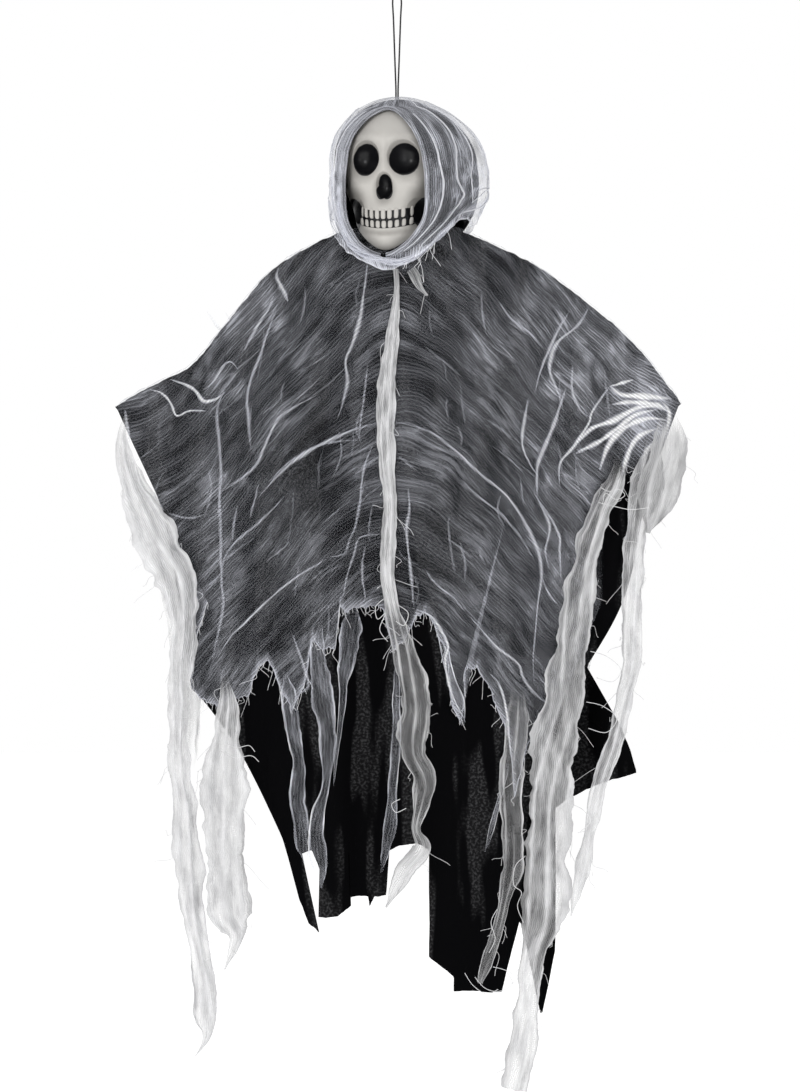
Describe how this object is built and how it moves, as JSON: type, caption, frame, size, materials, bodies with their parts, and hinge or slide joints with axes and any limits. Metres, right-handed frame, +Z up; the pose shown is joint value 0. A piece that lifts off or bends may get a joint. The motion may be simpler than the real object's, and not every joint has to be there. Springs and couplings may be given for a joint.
{
  "type": "hanging ghost decoration",
  "caption": "Hooded skull over a wired poncho of black cloth and torn pale gauze, hung from a cord loop as a seasonal decoration.",
  "frame": {"origin": "top of the hanging loop, where a hook or nail carries it", "axes": "+Z up, the face looks towards -Y, the arms spread along X"},
  "size_m": [0.5264, 0.1723, 1.0082],
  "materials": {
    "skull": "satin ivory plastic with airbrushed black hollows",
    "black_cloth": "thin matte black cloth, cut and frayed at its hem",
    "gauze": "loose open off-white gauze, torn and creased",
    "cord": "black twisted string",
    "plug": "plain moulded plastic",
    "wire": "bare bendable steel wire"
  },
  "bodies": {
    "root": {"skull_front": "skull", "skull_back": "skull", "hood_lining": "black_cloth", "hood_gauze": "gauze", "chin_tie": "gauze", "black_robe_front": "black_cloth", "black_robe_back": "black_cloth", "gauze_robe": "gauze", "centre_strip": "gauze", "left_outer_strip": "gauze", "left_inner_strip": "gauze", "right_thick_strip": "gauze", "right_outer_strand": "gauze", "right_wrist_flap": "gauze", "hem_rag": "gauze", "hanging_cord": "cord", "cord_knot": "cord", "neck_plug": "plug", "arm_wire": "wire"}
  },
  "joints": []
}
